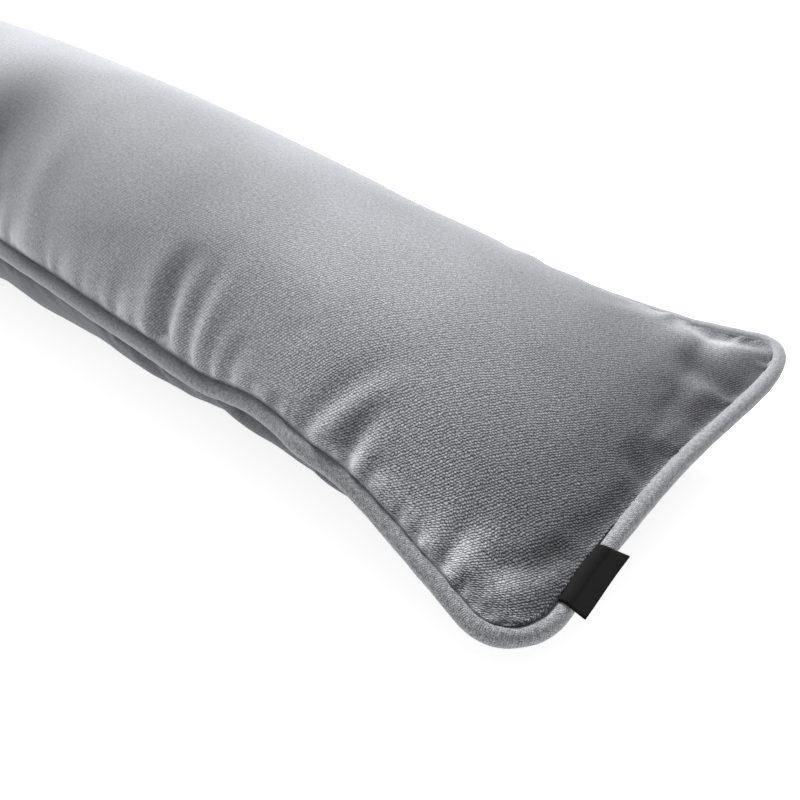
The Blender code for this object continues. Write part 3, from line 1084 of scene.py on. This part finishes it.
    def fold_depths(self, grid: np.ndarray, panel: Panel) -> np.ndarray:
        """Depth of all the folds of a panel.

        Args:
            grid: The crowned panel.
            panel: Which of the two it is.

        Returns:
            The depth at each point.
        """
        from_near, from_far = distances(grid, axis=1)
        from_plain, from_tab = distances(grid, axis=0)
        x, y = grid[:, :, 0], grid[:, :, 1]
        top = panel is Panel.TOP
        depth = np.zeros(x.shape)
        for half, side, stretch, share in TOP_SIDE_USES if top else UNDER_SIDE_USES:
            inward = from_near if side < 0 else from_far
            for row in SIDE_FOLD_ROWS:
                depth += self.fold(self.seam.length / 2 - half * x, inward, row, stretch, share)
            depth += self.puckers(x, inward) / 2  # each side comes up in two uses
        for end, stretch, share in TOP_END_USES if top else UNDER_END_USES:
            inward = from_tab if end > 0 else from_plain
            for row in END_FOLD_ROWS:
                depth += self.fold(y, inward, row, stretch, share)
            depth += self.puckers(y, inward)
            if top:
                for row in CORNER_CREASE_ROWS:
                    depth += share * self.crease(self.seam.length / 2 - end * x, end * y, row)
        if not top:
            for row in UNDER_TUCK_ROWS:
                depth += self.fold(self.seam.length / 2 - x, from_near, row, 1.0, 1.0)
        return depth

    def panels(self, loop: SeamLoop) -> tuple[np.ndarray, np.ndarray]:
        """The two crowned panels of a mesh, before their folds."""
        rings = (loop.ring(self.groove_radius, s * self.groove_angle) for s in (1, -1))
        return tuple(self.crowned(loop.fill(ring), panel) for ring, panel in zip(rings, Panel))

    def settled(self, fine: SeamLoop) -> tuple[np.ndarray, np.ndarray]:
        """Movement of each panel's cloth from the filling, on a fine mesh.

        The simulation runs on a coarse mesh, and a fine point's movement is the
        Gaussian mean of the coarse points' around it.

        Args:
            fine: The fine mesh's seam.

        Returns:
            The movement of the top and of the under panel.
        """
        coarse = self.seam.stations(COARSE)
        top, under = self.panels(coarse)
        count = top.shape[0] * top.shape[1]
        border = coarse.border_numbers()
        quads = np.concatenate([coarse.grid_quads(), coarse.grid_quads()[:, ::-1] + count,
                                ring_quads(border, border + count)])
        points = np.concatenate([top.reshape(-1, 3), under.reshape(-1, 3)])
        moved = self.filling.settle(points, quads, np.concatenate([border, border + count]))
        log.info("filling: cloth moved up to %.1f mm", np.linalg.norm(moved, axis=1).max() / MM)

        def weights(wanted: np.ndarray, known: np.ndarray) -> np.ndarray:
            """Share of each known station in each wanted one."""
            share = bell(wanted[:, None] - known[None, :], self.settled_width / (len(known) - 1))
            return share / share.sum(axis=1, keepdims=True)

        along, across = weights(fine.along, coarse.along), weights(fine.across, coarse.across)
        return tuple(
            np.einsum("ia,jb,abk->ijk", along, across,
                      self.filling.wrinkles(m.reshape(top.shape), COARSE.plain))
            for m in (moved[:count], moved[count:]))

    def nap_and_painted_light(self, smooth: np.ndarray, folded: np.ndarray, panel: Panel) -> np.ndarray:
        """Tone of the brushed nap over a panel.

        It falls exponentially towards the ends, partly the pile's brushing and partly
        painted shade, and is multiplied by the exponential of the sum of the painted
        light and shade beside the seams, of the Gaussian patches of brushing and of
        painted light and shade, and of how much the folds turn the cloth towards the
        key light, which paints light and shade on their sides. On the under panel it is
        scaled down as painted shade.

        Args:
            smooth: The panel before its folds.
            folded: The panel with its folds.
            panel: Which of the two it is.

        Returns:
            The tone at each point.
        """
        (from_plain, from_tab), (from_near, from_far) = distances(smooth, 0), distances(smooth, 1)
        # darker towards the ends: the pile's brushing with painted shade where the ends slope away
        # from the key light
        tab, plain, spread = self.brushed
        tone = tab ** np.exp(-from_tab / spread) * plain ** np.exp(-from_plain / spread)
        to_side, to_end = np.minimum(from_near, from_far), np.minimum(from_tab, from_plain)
        # painted light beside the side seams at each end
        power, end_spread, side_spread = self.painted_end_light
        lighter = power * np.exp(-to_side / side_spread - to_end / end_spread)
        # painted shade, then painted light, beside the seam
        for power, spread in self.painted_seam_light:
            lighter += power * np.exp(-np.minimum(to_side, to_end) / spread)
        # patches of brushing and of painted light and painted shade
        for inset, across, along_radius, across_radius, power in BRUSHED_AND_PAINTED_LIGHT_ROWS:
            lighter += power * (bell(from_tab - inset * MM, along_radius * MM)
                                * bell(smooth[:, :, 1] - across * MM, across_radius * MM))
        # painted light and painted shade on the folds' sides, by how far they turn to the key light
        turned = (grid_normals(folded) - grid_normals(smooth)) @ np.array(self.key_light_way)
        tone = self.tone * tone * np.exp(self.painted_flank_light * turned + lighter)
        # the under panel is darkened: painted shade
        return tone if panel is Panel.TOP else self.shade * tone

    def folded(self, smooth: np.ndarray, move: Union[float, np.ndarray],
               panel: Panel) -> tuple[np.ndarray, np.ndarray]:
        """A panel with its folds, and its place on the cloth.

        Each point is moved by the filling, and then inwards by the folds' depth.

        Args:
            smooth: The panel before its folds.
            move: Movement of its cloth from the filling.
            panel: Which of the two it is.

        Returns:
            The panel, nowhere below the floor, and each point's place on the cloth.
        """
        outward = grid_normals(smooth) * (1 if panel is Panel.TOP else -1)
        grid = smooth + move - self.fold_depths(smooth, panel)[:, :, None] * outward
        grid[:, :, 2] = np.maximum(grid[:, :, 2], 0.0)
        (from_plain, from_tab), (from_near, from_far) = distances(grid, 0), distances(grid, 1)
        return grid, np.stack([from_plain - from_tab, from_near - from_far], axis=2) / 2

    def build(self) -> bpy.types.Object:
        """Make the cushion: its two panels, and the bands of the groove between them.

        Returns:
            The closed, filled cover with its folds.
        """
        loop = self.seam.stations(FINE)
        grids, maps, tones_with_painted_light = [], [], []
        moves = self.settled(loop)
        for smooth, move, panel in zip(self.panels(loop), moves, Panel):
            grid, place = self.folded(smooth, move, panel)
            grids.append(grid.reshape(-1, 3))
            maps.append(place.reshape(-1, 2))
            tones_with_painted_light.append(self.nap_and_painted_light(smooth, grid, panel).ravel())
        count, border = len(grids[0]), loop.border_numbers()
        angles = np.linspace(self.groove_angle, -self.groove_angle, FINE.groove + 1)[1:-1]
        middle = [loop.ring(self.groove_radius, angle) for angle in angles]
        numbers = [border, *(2 * count + n * len(border) + np.arange(len(border))
                             for n in range(len(middle))), border + count]
        border_map = maps[0][border]
        bands = list(zip(numbers[:-1], numbers[1:]))
        band_map = np.concatenate([border_map, np.roll(border_map, -1, axis=0)], axis=1)
        groove_uv = band_map[:, [0, 1, 0, 1, 2, 3, 2, 3]].reshape(-1, 4, 2)
        up, down = loop.grid_quads(), loop.grid_quads()[:, ::-1]
        quads = np.concatenate([up, down + count, *(ring_quads(a, b) for a, b in bands)])
        uv = np.concatenate([maps[0][up], maps[1][down], *[groove_uv] * len(bands)])
        points = np.concatenate([*grids, *middle])
        made = mesh_object("velvet_cushion", points, quads, uv, self.finish.build())
        # the groove's tone: painted shade in the crease
        tones_with_painted_light.append(np.full(len(middle) * len(border), self.groove_shaded_tone))
        made.data.attributes.new(NAP_AND_PAINTED_LIGHT, "FLOAT", "POINT").data.foreach_set(
            "value", np.clip(np.concatenate(tones_with_painted_light), 0, self.most_tone))
        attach(made, "root")
        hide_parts("cushion")
        return made


@dataclass
class Piping:
    """The covered cord in the seam.

    Attributes:
        seam: The line it is sewn in.
        finish: Its velvet.
        radius: Its radius.
        sides: Faces round it.
        unevenness: Share of the radius that comes and goes along it.
        tone: Tone of its nap at the ends.
        side_grain_and_painted_light: How much darker that is at the near side, and lighter at the
            far one: partly the strips' grain, partly painted shade and painted light.
    """

    seam: Seam
    finish: VelvetFinish = VelvetFinish(
        "piping_velvet", grey(0.02, 0.02, 0.022), grey(0.4, 0.405, 0.42),
        tuft=(0.8, 0.8), turn=38.0, contrast=0.2, relief=0.25 * MM, sheen=0.5)
    radius: float = 3.2 * MM
    sides: int = 20
    unevenness: float = 0.03
    tone: float = 0.82
    side_grain_and_painted_light: float = 0.14

    def build(self) -> bpy.types.Object:
        """Make the piping: a closed tube with a gentle unevenness.

        Its radius is the cord's times 1 plus the unevenness times twice the mean of
        the cosine waves of the distance along it. Its pile is darker on the near side
        and lighter on the far one: partly the strips' grain, partly painted shade on
        the near side and painted light on the far one.

        Returns:
            The piping.
        """
        loop = self.seam.stations(FINE)
        count = len(loop.points)
        run = run_lengths(np.concatenate([loop.points, loop.points[:1]]))
        waves, starts = np.array(PIPING_WAVES).T
        angle = 2 * np.pi * run[:-1, None] / run[-1] * waves + starts
        radius = self.radius * (1 + self.unevenness * np.cos(angle).mean(axis=1) * 2)
        turn = 360.0 / self.sides
        points = np.concatenate([loop.ring(radius, turn * n) for n in range(self.sides)])
        i, j = np.meshgrid(np.arange(self.sides), np.arange(count), indexing="ij")
        corners = [(i, j), (i, j + 1), (i + 1, j + 1), (i + 1, j)]
        quads = np.stack([(a % self.sides) * count + b % count for a, b in corners],
                         axis=2).reshape(-1, 4)
        girth = 2 * np.pi * self.radius / self.sides
        uv = np.stack([np.stack([run[b], a * girth], axis=2) for a, b in corners], axis=2)
        made = mesh_object("piping_cord", points, quads, uv.reshape(-1, 4, 2),
                           self.finish.build())
        # tone by side: the strips' grain with painted shade near and painted light far
        made.data.attributes.new(NAP_AND_PAINTED_LIGHT, "FLOAT", "POINT").data.foreach_set(
            "value", np.tile(self.tone - self.side_grain_and_painted_light * loop.inward()[:, 1], self.sides))
        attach(made, "root")
        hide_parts("piping")
        return made


@dataclass
class LabelTab:
    """The black tape, folded in two, that the end seam holds over the piping.

    Attributes:
        seam: The line it is sewn in.
        finish: Its tape.
        root: Its two edges across the cover, in the seam.
        tip: Its two edges across the cover, at the fold.
        seat: From the piping's middle to the tab.
        layer: Thickness of one layer of the tape.
        gap: Between the two layers.
        reach: From the piping's middle to its folded edge.
        root_angle, bend_angle: Degrees up from level, on the cover's side, where
            it leaves the seam, and where it leaves the piping.
        droop: Degrees below level of its free part.
        columns: Steps across it.
        arc_points, run_points, fold_points: Points of its section round the piping,
            along its free part and round its fold.
    """

    seam: Seam
    finish: TapeFinish = TapeFinish()
    root: tuple[float, float] = (-66.5 * MM, -40.4 * MM)
    tip: tuple[float, float] = (-66.7 * MM, -37.2 * MM)
    seat: float = 3.35 * MM
    layer: float = 0.42 * MM
    gap: float = 0.1 * MM
    reach: float = 7.8 * MM
    root_angle: float = 62.0
    bend_angle: float = 128.0
    droop: float = 18.0
    columns: int = 36
    arc_points: int = 12
    run_points: int = 14
    fold_points: int = 9

    def middle_line(self) -> np.ndarray:
        """The tape's middle in section: out and up, from the seam to the fold and back.

        Each layer is an arc round the piping and a straight run, and the fold is
        half a circle that joins them.

        Returns:
            Points in order, with the upper layer first.
        """
        arc = np.radians(np.linspace(self.root_angle, self.bend_angle, self.arc_points))
        droop = math.radians(self.droop)
        ahead = np.array([math.cos(droop), -math.sin(droop)])
        above = np.array([math.sin(droop), math.cos(droop)])
        half = (self.layer + self.gap) / 2
        middle = self.seat + self.layer + self.gap / 2

        def layer_line(radius: float) -> np.ndarray:
            """One layer, from its root to the start of the fold."""
            round_cord = radius * np.stack([-np.cos(arc), np.sin(arc)], axis=1)
            length = (self.reach - half - self.layer / 2 - round_cord[-1, 0]) / ahead[0]
            straight = round_cord[-1] + np.linspace(0, length, self.run_points)[1:, None] * ahead
            return np.concatenate([round_cord, straight])

        upper, lower = layer_line(middle + half), layer_line(middle - half)
        centre = (upper[-1] + lower[-1]) / 2
        half_turn = np.radians(np.linspace(90, -90, self.fold_points)[1:-1])[:, None]
        size = np.linalg.norm(upper[-1] - lower[-1]) / 2
        fold = centre + size * (np.cos(half_turn) * ahead + np.sin(half_turn) * above)
        return np.concatenate([upper, fold, lower[::-1]])

    def build(self) -> bpy.types.Object:
        """Make the tab: the tape's section carried along the end of the seam.

        Returns:
            The folded tape.
        """
        curve, corners = self.seam.curve()
        end = curve[corners[0]:corners[1] + 1]
        across = np.linspace(*self.root, self.columns + 1)
        flare = np.linspace(*self.tip, self.columns + 1) - across
        line = np.stack([np.interp(across, end[:, 1], end[:, 0]), across,
                         np.interp(across, end[:, 1], end[:, 2])], axis=1)
        tangent = np.gradient(line, axis=0)
        outward = unit(np.stack([tangent[:, 1], -tangent[:, 0], np.zeros(len(line))], axis=1))
        middle = self.middle_line()
        slope = np.gradient(middle, axis=0)
        side = unit(np.stack([-slope[:, 1], slope[:, 0]], axis=1)) * self.layer / 2
        section = np.concatenate([middle + side, (middle - side)[::-1]])
        run = run_lengths(middle)
        tape = np.concatenate([run, run[::-1]])
        n, m = len(across), len(section)
        points = (line[:, None] + section[None, :, :1] * outward[:, None]
                  + section[None, :, 1:] * np.array([0.0, 0.0, 1.0]))
        points[:, :, 1] += flare[:, None] * np.clip(section[:, 0] / self.reach, 0, 1)
        i, j = np.meshgrid(np.arange(n - 1), np.arange(m), indexing="ij")
        corners = [(i, j), (i, (j + 1) % m), (i + 1, (j + 1) % m), (i + 1, j)]
        faces = np.stack([a * m + b for a, b in corners], axis=2).reshape(-1, 4)
        k = np.arange(m // 2 - 1)
        cap = np.stack([k, m - 1 - k, m - 2 - k, k + 1], axis=1)
        quads = np.concatenate([faces, cap, cap[:, ::-1] + (n - 1) * m])
        place = np.stack(np.broadcast_arrays(across[:, None], tape[None, :]), axis=2)
        made = mesh_object("folded_tab", points.reshape(-1, 3), quads,
                           place.reshape(-1, 2)[quads], self.finish.build())
        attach(made, "root")
        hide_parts("label_tab")
        return made


@dataclass(frozen=True)
class SoftLight:
    """A square soft light.

    Attributes:
        name: Its name.
        place: Where it hangs.
        aim: What it points at.
        size: Its side.
        power: Its power in watts.
    """

    name: str
    place: tuple[float, float, float]
    aim: tuple[float, float, float]
    size: float
    power: float

    def build(self) -> bpy.types.Object:
        """Hang the light."""
        lamp = bpy.data.lights.new(self.name, "AREA")
        lamp.shape, lamp.size, lamp.energy = "SQUARE", self.size, self.power
        made = bpy.data.objects.new(self.name, lamp)
        made.location = self.place
        made.rotation_euler = (Vector(self.aim) - Vector(self.place)).to_track_quat(
            "-Z", "Y").to_euler()
        bpy.context.collection.objects.link(made)
        return made


@dataclass
class Studio:
    """Pale floor, soft light and the camera at the photograph's angle.

    Attributes:
        eye: Place of the camera.
        turn, tilt: Degrees that it is turned from +Y towards -X, and looks down.
        lens: Focal length in mm on its sensor.
        sensor: Width of its sensor in mm.
        sky: Strength of the light from all round.
        floor_side: Side of the floor.
        nearest: Nearest distance that the camera sees.
        lights: Its soft lights.
    """

    eye: tuple[float, float, float] = (0.50173, -0.28083, 0.26855)
    turn: float = 39.1318
    tilt: float = 35.4644
    lens: float = 50.122
    sensor: float = 36.0
    sky: float = 0.45
    floor_side: float = 12.0
    nearest: float = 10 * MM
    lights: tuple[SoftLight, ...] = (
        SoftLight("key_light", (-0.8, 1.0, 1.45), (0.2, 0.0, 0.04), 0.9, 106.0),
        SoftLight("front_light", (0.4, -2.0, 0.5), (0.2, 0.0, 0.04), 1.0, 5.5),
    )

    def build(self) -> None:
        """Set up the camera, the lights and the floor."""
        scene = bpy.context.scene
        lens = bpy.data.cameras.new("camera")
        lens.sensor_fit, lens.sensor_width, lens.lens = "HORIZONTAL", self.sensor, self.lens
        lens.clip_start = self.nearest
        camera = bpy.data.objects.new("camera", lens)
        camera.location = self.eye
        camera.rotation_euler = (math.radians(90 - self.tilt), 0.0, math.radians(self.turn))
        scene.collection.objects.link(camera)
        scene.camera = camera
        world = bpy.data.worlds.new("studio")
        world.use_nodes = True
        world.node_tree.nodes["Background"].inputs["Color"].default_value = grey(1, 1, 1)
        world.node_tree.nodes["Background"].inputs["Strength"].default_value = self.sky
        scene.world = world
        scene.view_settings.view_transform = "Standard"
        for light in self.lights:
            light.build()
        half = self.floor_side / 2
        mesh = bpy.data.meshes.new("floor")
        mesh.from_pydata([(-half, -half, 0), (half, -half, 0), (half, half, 0), (-half, half, 0)],
                         [], [(0, 1, 2, 3)])
        mesh.materials.append(FloorFinish().build())
        floor = bpy.data.objects.new("floor", mesh)
        scene.collection.objects.link(floor)


def main() -> None:
    """Build the cushion, the piping, the tab and the studio, in that order."""
    logging.basicConfig(level=logging.INFO, format="%(message)s")
    seam = Seam()
    for builder in (Cover(seam), Piping(seam), LabelTab(seam)):
        made = builder.build()
        log.info("%s: %d faces", made.name, len(made.data.polygons))
    Studio().build()


if __name__ == "__main__":
    main()
